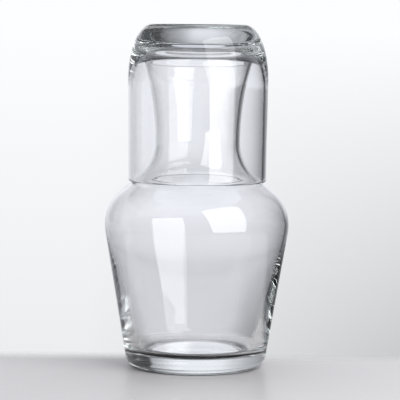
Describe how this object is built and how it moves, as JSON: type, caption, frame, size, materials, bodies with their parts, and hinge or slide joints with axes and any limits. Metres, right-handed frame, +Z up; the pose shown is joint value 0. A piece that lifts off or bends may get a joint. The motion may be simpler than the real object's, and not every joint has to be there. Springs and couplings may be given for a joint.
{
  "type": "bedside carafe with tumbler",
  "caption": "Clear glass water carafe with a waisted, flared neck, covered by a heavy-based drinking tumbler that sits upside down on its shoulder and lifts off.",
  "frame": {"origin": "centre of the carafe's foot on the table", "axes": "+Z up along the common axis of carafe and tumbler; both are round, so X and Y are free"},
  "size_m": [0.1074, 0.1074, 0.2],
  "materials": {
    "clear_glass": "polished clear soda-lime glass"
  },
  "bodies": {
    "carafe": {"carafe": "clear_glass"},
    "tumbler": {"tumbler": "clear_glass"}
  },
  "joints": [
    {"name": "tumbler_lift", "type": "slide", "parent": "carafe", "child": "tumbler", "axis": [0, 0, 1], "range_m": [0, 0.09]}
  ]
}
